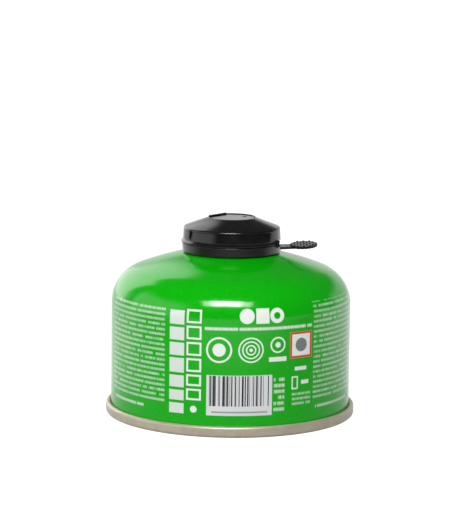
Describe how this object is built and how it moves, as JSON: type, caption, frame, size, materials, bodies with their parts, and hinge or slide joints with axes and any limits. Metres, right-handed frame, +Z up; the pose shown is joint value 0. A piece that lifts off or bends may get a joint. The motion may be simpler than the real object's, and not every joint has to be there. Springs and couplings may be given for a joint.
{
  "type": "fuel canister",
  "caption": "Squat green gas canister with a concave base, a double seam, a screw valve in its neck and a black push-fit cap with a studded pull tab.",
  "frame": {"origin": "centre of the ring that the canister stands on, on the ground plane", "axes": "+Z up along the can's axis, +X towards the pull tab, -Y towards the printed front"},
  "size_m": [0.09, 0.09, 0.0717],
  "materials": {
    "enamelled_steel": "gloss green enamel, bare steel on the base and its seam",
    "gasket_rubber": "matte",
    "tinplate": "bright tinplate",
    "seal_rubber": "matte",
    "cap_plastic": "satin black moulding"
  },
  "bodies": {
    "root": {"canister": "enamelled_steel", "cup_gasket": "gasket_rubber", "valve_cup": "tinplate", "valve_seal": "seal_rubber", "cap": "cap_plastic"}
  },
  "joints": []
}
